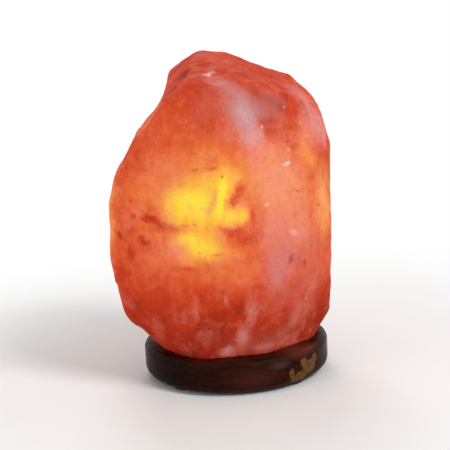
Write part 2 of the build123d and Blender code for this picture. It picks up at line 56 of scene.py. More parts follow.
# Where the relief of the skin starts and stops.
RIM_FLAT = 0.6              # there is none up to here above the foot
RIM_WHOLE = 6               # and all of it from here on
CHAMBER_MARGIN = 6          # there is none this near to the chamber's wall
CHAMBER_TOP_MARGIN = 8      # nor this near above its top
PLUG_MARGIN = 7             # nor this near to a plug's axis
BOX_FADE = 4                # what rises fades this near to the solid's box

# The relief itself: how far it rises and falls, and how large its features are.
SWELL_RISE, SWELL_SIZE = 1.4, 42
LUMP_RISE, LUMP_SIZE = 0.5, 15
CHISEL_DEPTH, CHISEL_SIZE = 0.6, 17
CHISEL_EDGE = 1.8           # how sharply a chisel mark's bed meets its ridge
GRIT_RISE, GRIT_SIZE = 0.10, 4.5
GRIT_STRETCH = (1, 1, 0.4)  # its features are longer along Z


# ---------------------------------------------------------------------------------------------------------
# Node trees
# ---------------------------------------------------------------------------------------------------------

class Tree:
    """A material under construction, with lengths in millimetres in the object's own space."""

    def __init__(self, name):
        self.material = bpy.data.materials.new(name)
        self.material.use_nodes = True
        self.nodes = self.material.node_tree.nodes
        self.links = self.material.node_tree.links
        self.nodes.clear()
        self.shader = self.nodes.new("ShaderNodeBsdfPrincipled")
        output = self.nodes.new("ShaderNodeOutputMaterial")
        self.links.new(self.shader.outputs[0], output.inputs["Surface"])
        place = self.nodes.new("ShaderNodeTexCoord").outputs["Object"]
        self.place = self.vector("SCALE", place, scale=1 / MM)

    def put(self, socket, value):
        if isinstance(value, bpy.types.NodeSocket):
            self.links.new(value, socket)
        else:
            socket.default_value = value

    def finish(self, **values):
        """Sets the shader's sockets: a socket with spaces in its name is written with underscores."""
        for name, value in values.items():
            self.put(self.shader.inputs[name.replace("_", " ")], value)
        return self.material

    def vector(self, operation, a, b=None, c=None, scale=None):
        node = self.nodes.new("ShaderNodeVectorMath")
        node.operation = operation
        self.put(node.inputs[0], a)
        if b is not None:
            self.put(node.inputs[1], b)
        if c is not None:
            self.put(node.inputs[2], c)
        if scale is not None:
            self.put(node.inputs["Scale"], scale)
        return node.outputs["Value" if operation == "LENGTH" else "Vector"]

    def math(self, operation, a, b, clamp=False):
        node = self.nodes.new("ShaderNodeMath")
        node.operation = operation
        node.use_clamp = clamp
        self.put(node.inputs[0], a)
        self.put(node.inputs[1], b)
        return node.outputs[0]

    def split(self, vector):
        node = self.nodes.new("ShaderNodeSeparateXYZ")
        self.put(node.inputs[0], vector)
        return node.outputs

    def crossed(self, place):
        """The place with its X and Z exchanged: a mirror image in the plane between these axes."""
        return self.vector("REFLECT", place, (1, 0, -1))

    def stretch(self, size, place=None):
        """The place measured in lengths of `size` along each axis."""
        return self.vector("DIVIDE", self.place if place is None else place, size)

    def noise(self, size, detail, roughness=0.5, place=None, colour=False):
        """Noise of 0..1 with features of `size` millimetres, or of `size` lengths of a stretched place."""
        node = self.nodes.new("ShaderNodeTexNoise")
        self.put(node.inputs["Vector"], self.place if place is None else place)
        node.inputs["Scale"].default_value = 1 / size
        node.inputs["Detail"].default_value = detail
        node.inputs["Roughness"].default_value = roughness
        return node.outputs["Color" if colour else "Fac"]

    def drift(self, size, detail, roughness=0.5):
        """Noise of -0.5..0.5 along each axis."""
        return self.vector("SUBTRACT", self.noise(size, detail, roughness, colour=True), (0.5, 0.5, 0.5))

    def moved(self, *drifts):
        """The place moved by drifts, each given with the millimetres that a drift of 1 means."""
        place = self.place
        for drift, length in drifts:
            place = self.vector("ADD", place, self.vector("SCALE", drift, scale=length))
        return place

    def ramp(self, value, low, high, start=0.0, end=1.0, smooth=True):
        """Takes `value` from low..high to start..end, held at both ends."""
        node = self.nodes.new("ShaderNodeMapRange")
        node.interpolation_type = "SMOOTHSTEP" if smooth else "LINEAR"
        node.clamp = not smooth
        self.put(node.inputs["Value"], value)
        for name, number in (("From Min", low), ("From Max", high), ("To Min", start), ("To Max", end)):
            self.put(node.inputs[name], number)
        return node.outputs[0]

    def colours(self, value, *stops):
        """The colour for `value` among stops, each a position of 0..1 and a screen colour."""
        node = self.nodes.new("ShaderNodeValToRGB")
        self.put(node.inputs[0], value)
        elements = node.color_ramp.elements
        while len(elements) < len(stops):
            elements.new(0.5)
        for element, (position, colour) in zip(elements, stops):
            element.position = position
            element.color = rgb(*colour)
        return node.outputs[0]

    def mix(self, factor, a, b, how="MIX"):
        node = self.nodes.new("ShaderNodeMix")
        node.data_type = "RGBA"
        node.blend_type = how
        self.put(node.inputs[0], factor)
        self.put(node.inputs[6], a if isinstance(a, bpy.types.NodeSocket) else rgb(*a))
        self.put(node.inputs[7], b if isinstance(b, bpy.types.NodeSocket) else rgb(*b))
        return node.outputs[2]

    def shade(self, value):
        """A grey whose three parts are the value."""
        node = self.nodes.new("ShaderNodeCombineColor")
        for socket in node.inputs[:3]:
            self.put(socket, value)
        return node.outputs[0]

    def bump(self, height, depth, normal=None):
        """Bump of `depth` millimetres."""
        node = self.nodes.new("ShaderNodeBump")
        node.inputs["Strength"].default_value = 1.0
        node.inputs["Distance"].default_value = depth * MM
        self.put(node.inputs["Height"], height)
        if normal is not None:
            self.put(node.inputs["Normal"], normal)
        return node.outputs[0]

    def spot(self, place, centre, radii, turn, soft, amount=1.0):
        """`amount` inside an ellipsoid turned about Y, by degrees, and 0 outside.

        It falls off over the outer part `soft`. `place` is a pair: the place, and the place crossed.
        """
        cosine, sine = math.cos(math.radians(turn)), math.sin(math.radians(turn))
        own = Vector((cosine / radii[0], 1 / radii[1], cosine / radii[2]))
        across = Vector((-sine / radii[0], 0, sine / radii[2]))
        shift = -own * Vector(centre) - across * Vector(centre[::-1])
        inside = self.vector("MULTIPLY_ADD", place[0], own, shift)
        if turn:
            inside = self.vector("MULTIPLY_ADD", place[1], across, inside)
        return self.ramp(self.vector("LENGTH", inside), 1.0, 1.0 - soft, 0.0, amount)


def rgb(red, green, blue):
    """A colour given as 0-255 on a screen, as Blender's linear numbers."""
    def linear(value):
        value /= 255
        return value / 12.92 if value <= 0.04045 else ((value + 0.055) / 1.055) ** 2.4
    return (linear(red), linear(green), linear(blue), 1.0)


# ---------------------------------------------------------------------------------------------------------
# The stone's shape
# ---------------------------------------------------------------------------------------------------------

# Swellings (+) and hollows (-) of the skin: two ends, half width, height.
FOLDS = (
    ((-34, -38, 203), (-24, -24, 216), 3.0, -1.8),
    ((-58, -42, 40), (-50, -44, 30), 8.0, 3.0),
    ((-24, -30, 214), (10, -46, 197), 4.0, 0.5),
    ((10, -46, 197), (44, -34, 187), 4.5, 0.6),
    ((20, -40, 193), (40, -24, 198), 6.0, -1.2),
    ((42, -4, 204), (45, -33, 187), 2.6, -1.3),
    ((49, -38, 178), (57, -46, 128), 6.0, 0.6),
)


def fractal(points, size, octaves, seed):
    """Smooth noise of about -1..1 at each point, with features of `size` millimetres."""
    shift = Vector((17.3 * seed, 41.7 * seed, 5.9 * seed))
    return np.array([noise.fractal(Vector(p) / size + shift, 1.0, 2.0, octaves) for p in points])


def scallops(points, size, seed):
    """0 on the ridges between shallow chisel marks of `size` millimetres, 1 at the middle of each."""
    shift = Vector((9.1 * seed, 3.3 * seed, 27.7 * seed))
    depth = []
    for p in points:
        near = noise.voronoi(Vector(p) / size + shift)[0]
        depth.append(min(1.0, (near[1] - near[0]) * CHISEL_EDGE))
    return np.array(depth)


def to_segment(points, start, end):
    """The distance of each point from the straight line between two ends."""
    start, end = np.array(start, float), np.array(end, float)
    along = end - start
    share = np.clip((points - start) @ along / (along @ along), 0, 1)
    return np.linalg.norm(points - start - share[:, None] * along, axis=1)


def smoothstep(value, low, high):
    share = np.clip((value - low) / (high - low), 0, 1)
    return share * share * (3 - 2 * share)


def skin_weight(points):
    """1 on the stone's outer skin, 0 in its chamber, in its plugs' holes and on its foot."""
    radius = np.hypot(points[:, 0], points[:, 1])
    weight = smoothstep(points[:, 2], FOOT_HEIGHT + RIM_FLAT, FOOT_HEIGHT + RIM_WHOLE)
    beside = radius < CHAMBER_RADIUS + CHAMBER_MARGIN
    weight[beside & (points[:, 2] < CHAMBER_TOP + CHAMBER_TOP_MARGIN)] = 0
    for angle in PLUG_ANGLES:
        x = PLUG_CIRCLE * math.cos(math.radians(angle))
        y = PLUG_CIRCLE * math.sin(math.radians(angle))
        near = np.hypot(points[:, 0] - x, points[:, 1] - y) < PLUG_MARGIN
        weight[near & (points[:, 2] < PLUG_REACH)] = 0
    return weight


def skin_relief(points, box):
    """How far the skin stands out at each point. What rises fades out at the sides and top of `box`."""
    height = SWELL_RISE * fractal(points, SWELL_SIZE, 2, seed=1)
    height += LUMP_RISE * fractal(points, LUMP_SIZE, 2, seed=2)
    height -= CHISEL_DEPTH * scallops(points, CHISEL_SIZE, seed=3)
    height += GRIT_RISE * fractal(points * GRIT_STRETCH, GRIT_SIZE, 3, seed=4)
    for start, end, width, rise in FOLDS:
        height += rise * np.exp(-(to_segment(points, start, end) / width) ** 2)
    room = np.minimum(points - box[0], box[1] - points)
    room[:, 2] = box[1][2] - points[:, 2]
    return np.where(height > 0, height * np.clip(room.min(axis=1) / BOX_FADE, 0, 1), height)


def evaluated_mesh(thing):
    """A new mesh of the thing with its modifiers applied."""
    return bpy.data.meshes.new_from_object(thing.evaluated_get(bpy.context.evaluated_depsgraph_get()))


def make_stone():
    """The solid's crystal with an even, fine skin and the relief in it, never outside the solid's box."""
    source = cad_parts["salt_crystal"]
    stone = bpy.data.objects.new("salt_stone", source.data.copy())
    bpy.context.collection.objects.link(stone)
    skin = stone.modifiers.new("skin", "REMESH")
    skin.mode = "VOXEL"
    skin.voxel_size = SKIN_SIZE * MM
    mesh = evaluated_mesh(stone)
    stone.modifiers.clear()
    stone.data = mesh
    count = len(mesh.vertices)
    points, normals = np.empty(count * 3), np.empty(count * 3)
    mesh.vertices.foreach_get("co", points)
    mesh.vertices.foreach_get("normal", normals)
    points, normals = points.reshape(-1, 3) / MM, normals.reshape(-1, 3)
    weight = skin_weight(points)
    outer = weight > 0
    box = np.array(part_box("salt_crystal")) / MM
    height = skin_relief(points[outer], box)
    points[outer] += normals[outer] * (height * weight[outer])[:, None]
    points = np.clip(points, box[0], box[1])
    mesh.vertices.foreach_set("co", (points * MM).ravel())
    mesh.polygons.foreach_set("use_smooth", [True] * len(mesh.polygons))
    mesh.update()
    return stone


# ---------------------------------------------------------------------------------------------------------
# Materials
# ---------------------------------------------------------------------------------------------------------

# The salt's colour by the painted light that gets through it, and milky salt's by its height.
SALT_COLOURS = (
    (0.00, (134, 34, 17)), (0.15, (170, 48, 23)), (0.30, (198, 64, 33)), (0.42, (216, 88, 50)),
    (0.54, (230, 112, 60)), (0.66, (240, 144, 71)), (0.80, (250, 186, 69)), (1.00, (255, 226, 67)),
)
MILK_COLOURS = ((0.0, (186, 96, 82)), (1.0, (240, 146, 116)))
MILK_HEIGHTS = (30, 130)
STREAK_COLOUR = (204, 116, 102)
GRAIN_SHADE = (186, 122, 98)        # what grains, pits and marks leave of the colour
SURFACE_SHADE = (124, 120, 120)     # and what the surface, lit from outside, shows of it
PAINTED_GLOW_STRENGTH = 0.85                   # the strength of the painted glow: emission that stands in for the bulb's light through the salt
RUST_SHADE = 0.30                   # how much of the light a whole seam holds back
# How many millimetres a drift of 1 bends the glows and clouds, and frays the seams and marks.
SWIRL_BEND, CURL_BEND = 11.0, 7.0
SWIRL_FRAY, CURL_FRAY = 5.0, 6.0
# The wood's colour by its grain, stained and pale, and how far its grain sways and the pale patch frays.
STAINED_COLOURS = ((0.30, (28, 11, 5)), (0.46, (38, 15, 8)), (0.58, (48, 20, 11)), (0.72, (60, 27, 15)))
SAPWOOD_COLOURS = ((0.35, (86, 52, 24)), (0.65, (118, 80, 42)))
PORE_COLOUR = (16, 6, 3)
GRAIN_SWAY, PATCH_FRAY = 5.0, 5.0

# Where the stone is thin and clear, so the painted glow is brighter as if the bulb shone through: centre,
# radii, turn, softness, how much.
# The centres and radii of this table and of those below are in millimetres, the turns in degrees about Y.
PAINTED_GLOWS = (
    ((-8, -68, 136), (84, 70, 62), 0, 1.0, 0.17),
    ((-8, -70, 150), (54, 45, 36), 0, 1.0, 0.16),
    ((-20, -70, 126), (31, 45, 38), 0, 0.8, 0.22),
    ((-22, -70, 132), (17, 30, 19), 0, 0.9, 0.18),
    ((-36, -63, 126), (15, 30, 16), 0, 0.9, 0.14),
    ((-33, -63, 139), (15, 30, 9), 0, 0.9, 0.12),
    ((-34, -65, 109), (14, 30, 7), 0, 1.0, 0.08),
    ((-2, -74, 148), (17, 30, 15), 0, 0.9, 0.14),
    ((-5, -75, 137), (5, 30, 19), 13, 0.8, 0.24),
    ((5, -71, 126), (14, 30, 10), 8, 0.8, 0.26),
    ((-20, -69, 108), (24, 30, 10), 0, 0.9, 0.18),
    ((-8, -71, 101), (24, 30, 9), 0, 0.9, 0.18),
    ((-28, -66, 98), (18, 30, 8), 0, 0.9, 0.12),
    ((38, -57, 140), (34, 40, 46), 0, 1.0, 0.17),
    ((-54, -57, 138), (30, 30, 46), 10, 1.0, 0.10),
    ((-32, -65, 106), (17, 30, 11), 0, 0.9, 0.18),
    ((54, -44, 159), (8, 14, 18), -32, 0.8, 0.22),
    ((-80, -42, 124), (10, 30, 46), 6, 1.0, 0.26),
    ((-52, -57, 113), (14, 30, 7), 0, 1.0, 0.10),
    ((-58, -20, 184), (16, 30, 34), 34, 0.9, 0.12),
    ((-6, -66, 86), (54, 30, 20), 0, 1.0, 0.17),
    ((10, 66, 124), (56, 46, 54), 0, 1.0, 0.40),
    ((-74, 26, 118), (34, 36, 44), 0, 1.0, 0.34),
    ((72, 22, 128), (34, 34, 44), 0, 1.0, 0.30),
)
# Rusty seams, which hold the painted glow back: centre, radii, turn, softness, how much.
SEAMS = (
    ((-63, -52, 125), (3.2, 14, 3.6), 0, 0.8, 0.9),
    ((-57, -55, 123), (6, 14, 1.8), 20, 0.9, 0.6),
    ((-52, -57, 124), (9, 14, 4.4), 8, 0.9, 0.9),
    ((-42, -60, 119), (11, 14, 5), 16, 0.9, 0.9),
    ((-48, -58, 127), (14, 14, 9), 20, 1.0, 0.25),
    ((-63, -53, 136), (3.4, 14, 2.6), 0, 0.9, 0.4),
    ((-73, -47, 111), (8, 14, 2.4), 42, 0.9, 0.6),
    ((-57, -54, 109), (6, 14, 5), 0, 0.9, 0.7),
    ((-67, -49, 99), (4, 14, 9), 8, 0.9, 0.5),
    ((-74, -46, 86), (9, 14, 11), 0, 0.9, 0.4),
    ((-59, -50, 166), (1.6, 14, 7), 12, 0.9, 0.5),
    ((7, -72, 142), (6, 14, 10), 33, 0.9, 0.85),
    ((3, -74, 136), (4, 14, 6), 20, 0.9, 0.6),
    ((0, -75, 116), (9, 14, 4.4), 30, 0.9, 0.7),
    ((10, -72, 111), (15, 14, 8), 14, 1.0, 0.55),
    ((15, -69, 124), (3.4, 14, 9), -6, 0.9, 0.8),
    ((-30, -66, 119), (6, 12, 1.8), 0, 0.9, 0.5),
    ((-22, -69, 120), (3, 12, 1.6), -20, 0.9, 0.5),
    ((-10, -71, 157), (7, 14, 2.8), 0, 0.9, 0.6),
    ((-20, -70, 157), (2.4, 14, 1.8), 0, 0.9, 0.5),
    ((-9, -73, 101), (8, 12, 1.6), 0, 0.9, 0.4),
    ((-28, -64, 90), (9, 12, 2.2), 8, 0.9, 0.4),
    ((-27, -28, 212), (13, 20, 4), -44, 0.9, 0.9),
    ((-36, -40, 203), (9, 18, 4), -50, 0.9, 0.8),
    ((42, -35, 197), (2.6, 16, 8), -6, 0.9, 0.6),
    ((28, -51, 184), (9, 14, 5), 0, 0.9, 0.35),
    ((30, -53, 176), (8, 14, 5), 0, 0.9, 0.45),
    ((40, -50, 171), (8, 14, 6), 0, 0.9, 0.50),
    ((45, -49, 165), (5, 14, 4), 0, 0.9, 0.55),
    ((48, -53, 149), (3, 14, 1.6), 0, 0.9, 0.55),
    ((54, -49, 144), (6, 14, 1.3), 10, 0.9, 0.50),
    ((48, -54, 127), (3.4, 14, 4), 20, 0.9, 0.45),
    ((61, -41, 112), (1.6, 14, 4), 0, 0.9, 0.50),
    ((24, -66, 110), (6, 14, 3), 0, 0.9, 0.40),
    ((40, -59, 92), (3, 14, 6), 10, 0.9, 0.90),
    ((49, -55, 87), (1.7, 14, 5), 0, 0.9, 0.90),
    ((2, -64, 61), (15, 18, 9), 0, 1.0, 0.25),
    ((-15, -63, 50), (17, 18, 9), 0, 1.0, 0.20),
    ((-64, -43, 62), (13, 18, 13), 0, 1.0, 0.25),
    ((-36, -60, 60), (12, 18, 9), 0, 1.0, 0.20),
    ((-14, 66, 104), (20, 20, 4), 20, 0.9, 0.70),
    ((30, 60, 138), (14, 20, 3), -30, 0.9, 0.60),
    ((66, 30, 96), (20, 20, 5), 0, 0.9, 0.60),
    ((-72, 20, 134), (8, 20, 3), 0, 0.9, 0.60),
)
# Clouds in the salt that show a colour of their own, and painted shade at the foot and below the crown's
# ridge: centre, radii, turn, softness, how much, colour.
CLOUDS_AND_PAINTED_SHADE = (
    ((14, -54, 196), (42, 26, 20), 0, 1.0, 0.6, (204, 98, 84)),
    ((6, -14, 219), (36, 26, 10), 20, 0.9, 0.7, (206, 78, 50)),
    ((-6, -43, 211), (15, 20, 5), 26, 0.9, 0.6, (208, 108, 96)),
    ((2, -50, 206), (18, 18, 9), 34, 1.0, 0.9, (202, 122, 114)),
    ((10, -56, 195), (21, 18, 19), -22, 1.0, 0.9, (198, 134, 130)),
    ((22, -52, 192), (17, 16, 9), 24, 1.0, 0.9, (190, 124, 118)),
    ((14, -57, 186), (13, 16, 18), -14, 1.0, 0.9, (204, 158, 160)),
    ((18, -59, 174), (13, 16, 14), -14, 1.0, 0.9, (222, 156, 154)),
    ((21, -62, 163), (15, 16, 18), 0, 0.9, 0.7, (238, 140, 124)),
    ((-12, -62, 196), (15, 18, 20), 0, 1.0, 0.5, (210, 104, 86)),
    ((31, -46, 192), (18, 18, 17), -10, 1.0, 0.8, (192, 104, 94)),
    # Painted shade: these three rows are the brownish band below the crown's ridge.
    ((31, -43, 196), (11, 16, 6), 15, 0.9, 0.7, (178, 96, 86)),
    ((37, -43, 190), (9, 16, 6), 30, 0.9, 0.7, (174, 92, 80)),
    ((32, -49, 183), (10, 16, 6), 0, 0.9, 0.5, (194, 84, 70)),
    ((45, -38, 190), (4, 16, 12), -8, 0.9, 0.7, (222, 72, 48)),
    ((54, -14, 195), (20, 26, 12), 42, 0.8, 0.8, (218, 120, 114)),
    ((61, -32, 178), (13, 20, 27), -20, 0.9, 0.9, (226, 144, 138)),
    ((52, -39, 179), (12, 18, 9), 20, 0.9, 0.6, (228, 128, 110)),
    ((54, -42, 169), (15, 16, 15), 0, 1.0, 0.6, (240, 142, 112)),
    ((36, -50, 172), (12, 16, 9), 0, 1.0, 0.4, (226, 118, 98)),
    ((2, -63, 178), (14, 16, 12), -20, 1.0, 0.5, (220, 124, 106)),
    ((34, -58, 142), (31, 22, 48), 0, 0.9, 0.9, (241, 150, 114)),
    ((27, -62, 112), (18, 20, 24), 0, 1.0, 0.8, (234, 138, 114)),
    ((47, -54, 110), (18, 20, 26), 0, 1.0, 0.8, (238, 146, 116)),
    ((63, -36, 124), (17, 26, 38), 0, 0.9, 0.9, (249, 160, 94)),
    ((34, -61, 94), (26, 20, 30), 0, 0.9, 0.8, (219, 124, 112)),
    ((30, -62, 86), (11, 20, 24), 12, 1.0, 0.7, (208, 126, 122)),
    ((52, -50, 90), (18, 20, 26), 0, 0.9, 0.5, (220, 112, 92)),
    ((30, -58, 66), (26, 20, 16), 0, 1.0, 0.5, (204, 102, 84)),
    ((68, -34, 84), (12, 30, 26), 0, 1.0, 0.6, (224, 108, 84)),
    ((52, -45, 70), (20, 18, 18), 0, 1.0, 0.6, (216, 118, 100)),
    ((47, -42, 52), (18, 18, 16), 0, 1.0, 0.7, (200, 104, 86)),
    ((28, -46, 38), (22, 16, 10), -8, 1.0, 0.7, (182, 90, 72)),
    ((-10, -74, 137), (3.6, 14, 11), 13, 1.0, 0.7, (232, 156, 92)),
    ((-13, -73, 129), (3.4, 14, 6), 13, 1.0, 0.6, (236, 158, 106)),
    ((-37, -62, 102), (18, 16, 14), 0, 1.0, 0.8, (244, 142, 104)),
    ((-52, -57, 96), (16, 14, 16), 0, 1.0, 0.5, (236, 118, 80)),
    ((-38, -60, 153), (26, 16, 18), 0, 1.0, 0.6, (240, 134, 94)),
    ((-25, -64, 62), (4, 12, 13), -6, 1.0, 0.7, (212, 112, 94)),
    ((-6, -67, 69), (2.6, 12, 7), 0, 1.0, 0.8, (220, 120, 98)),
    ((12, -62, 58), (6, 12, 18), 8, 1.0, 0.8, (210, 120, 106)),
    ((6, -57, 41), (8, 12, 16), 6, 1.0, 0.9, (200, 124, 114)),
    ((-6, -55, 31), (10, 12, 6), -10, 1.0, 0.9, (198, 126, 118)),
    ((19, -52, 31), (11, 12, 6), 0, 0.9, 0.7, (194, 118, 108)),
    ((38, -35, 27), (10, 12, 5), -15, 0.9, 0.5, (186, 106, 94)),
    ((34, -40, 31), (24, 16, 7), -10, 1.0, 0.7, (192, 98, 82)),
    ((42, -42, 48), (7, 12, 18), 8, 0.9, 0.6, (194, 106, 92)),
    ((10, -56, 34), (30, 20, 14), 0, 1.0, 0.4, (184, 88, 74)),
    ((-20, -61, 41), (12, 12, 8), 0, 0.9, 0.4, (184, 92, 78)),
    ((-52, -43, 43), (6, 12, 12), -20, 0.9, 0.5, (182, 90, 74)),
    # Painted shade: a dark red band at the foot, where the gap to the base lies in shadow.
    ((-32, -50, 36), (22, 16, 8), 0, 1.0, 0.4, (150, 40, 24)),
    ((-35, -48, 23), (34, 26, 12), 3, 1.0, 0.9, (74, 12, 7)),
    ((-33, -34, 207), (14, 22, 8), -48, 0.9, 0.7, (194, 62, 36)),
    ((20, 62, 176), (26, 24, 20), 0, 0.9, 0.5, (214, 140, 132)),
    ((-60, 40, 80), (20, 24, 26), 0, 0.9, 0.6, (216, 126, 112)),
    ((64, 34, 160), (16, 24, 22), 0, 0.9, 0.5, (230, 136, 116)),
    ((0, 60, 60), (30, 24, 14), 0, 0.9, 0.5, (196, 96, 80)),
)
# Painted glints: pale specks painted where small faces would catch the light: centre, radii, turn, softness,
# how much, colour.
PAINTED_GLINTS = (
    ((-8, -34, 214), (6, 12, 1.4), -6, 0.9, 0.9, (236, 184, 182)),
    ((24, -52, 181), (1.8, 10, 1.4), 0, 0.9, 0.9, (246, 196, 196)),
    ((39, -41, 189), (1.2, 10, 1.6), 0, 0.9, 0.9, (248, 150, 124)),
    ((49, -42, 178), (1.6, 10, 1.4), 0, 0.9, 0.9, (250, 156, 120)),
    ((54, -42, 170), (2.6, 10, 1.4), 20, 0.9, 0.8, (250, 162, 122)),
    ((41, -52, 164), (2.0, 10, 1.6), 30, 0.9, 0.8, (252, 168, 138)),
    ((40, -56, 155), (4.0, 10, 1.8), 0, 0.9, 0.9, (252, 206, 190)),
    ((24, -64, 130), (1.6, 10, 2.0), 0, 0.9, 0.7, (255, 184, 152)),
    ((42, -57, 109), (3.0, 10, 4.2), -32, 0.9, 0.7, (248, 172, 162)),
    ((49, -44, 60), (1.0, 10, 1.2), 0, 0.9, 0.9, (250, 150, 110)),
)
# Dark grains and wisps, and painted shade below the crown's ridge: centre, radii, turn, how much.
MARKS_AND_PAINTED_SHADE = (
    ((-67, -42, 156), (1.8, 12, 1.8), 0, 0.8),
    ((-59, -44, 163), (1.2, 12, 1.2), 0, 0.8),
    ((2, -74, 134), (1.4, 12, 1.4), 0, 0.8),
    ((-3, -74, 152), (1.3, 12, 1.3), 0, 0.8),
    ((-20, -69, 102), (1.5, 12, 1.5), 0, 0.6),
    ((40, -44, 168), (1.2, 12, 1.2), 0, 0.8),
    ((60, -42, 124), (1.3, 12, 1.3), 0, 0.8),
    # Painted shade: these seven rows are brown wisps in the band below the crown's ridge.
    ((22, -47, 201), (11, 14, 3.2), 24, 0.3),
    ((32, -44, 196), (10, 14, 4.0), 16, 0.15),
    ((38, -43, 189), (8, 14, 3.0), 24, 0.30),
    ((30, -50, 183), (9, 14, 2.4), 8, 0.15),
    ((38, -48, 177), (7, 14, 3.0), -20, 0.25),
    ((31, -54, 170), (8, 14, 1.8), 10, 0.2),
    ((47, -42, 184), (2.4, 14, 6), -10, 0.4),
    ((46, -55, 136), (5, 14, 1.2), 20, 0.4),
    ((44, -57, 122), (1.4, 14, 4), 0, 0.3),
    ((39, -59, 92), (2.8, 12, 5.5), 10, 0.6),
    ((48.5, -55, 88.5), (1.1, 12, 4.2), 0, 0.5),
    ((-47, -57, 116), (8, 14, 2.4), 24, 0.25),
    ((-34, -62, 117), (6, 14, 2.0), 10, 0.25),
    ((6, -73, 115), (7, 14, 2.2), 26, 0.3),
    ((30, 62, 110), (1.8, 12, 1.8), 0, 0.8),
    ((-4, 66, 150), (1.6, 12, 1.6), 0, 0.8),
    ((70, 16, 140), (1.6, 12, 1.6), 0, 0.8),
    ((-12, 66, 96), (12, 16, 1.8), 14, 0.6),
    ((66, 24, 92), (16, 16, 1.6), -18, 0.6),
    ((-72, 10, 128), (16, 16, 1.6), 0, 0.6),
)
# The pale sapwood that the stain didn't take, and the stained wood left inside it: centre, radii, turn.
SAPWOOD = (
    ((49, -43, 12), (8, 10, 6), 0),
    ((45.5, -46.5, 16), (3.5, 10, 4.5), 0),
    ((52.5, -38.5, 16), (3, 10, 4.5), 20),
    ((43, -49, 8), (10, 12, 3.4), -12),
    ((36.5, -54, 11), (2.4, 10, 4), 0),
)
HEARTWOOD = (
    ((49, -42, 21), (2.2, 10, 4), 0),
    ((41, -50, 14), (3.4, 10, 3.4), 0),
)
# Places on the base that handling or the stain left another colour, and painted light: a highlight, the
# stone's red glow and shade on the left: centre, radii, colour.
SCUFFS_AND_PAINTED_LIGHT = (
    ((50, -38, 24), (5, 6, 2), (86, 60, 54)),
    # Painted highlight at the front.
    ((29, -58, 19), (14, 8, 4), (86, 60, 54)),
    ((12, -63, 12), (30, 12, 12), (78, 36, 24)),
    ((44, -44, 25), (26, 24, 7), (118, 54, 42)),
    # Painted red glow of the stone on the base's top before it.
    ((-24, -56, 27), (34, 24, 5), (96, 14, 8)),
    # Painted shade on the left.
    ((-46, -44, 12), (36, 30, 26), (12, 4, 2)),
)
# Heights, and how much painted glow gets through there. The foot is thickest and furthest from the bulb.
LIGHT_BY_HEIGHT = (
    (26, 0.06), (40, 0.09), (62, 0.25), (84, 0.36), (100, 0.39), (180, 0.39), (204, 0.31), (214, 0.26),
)


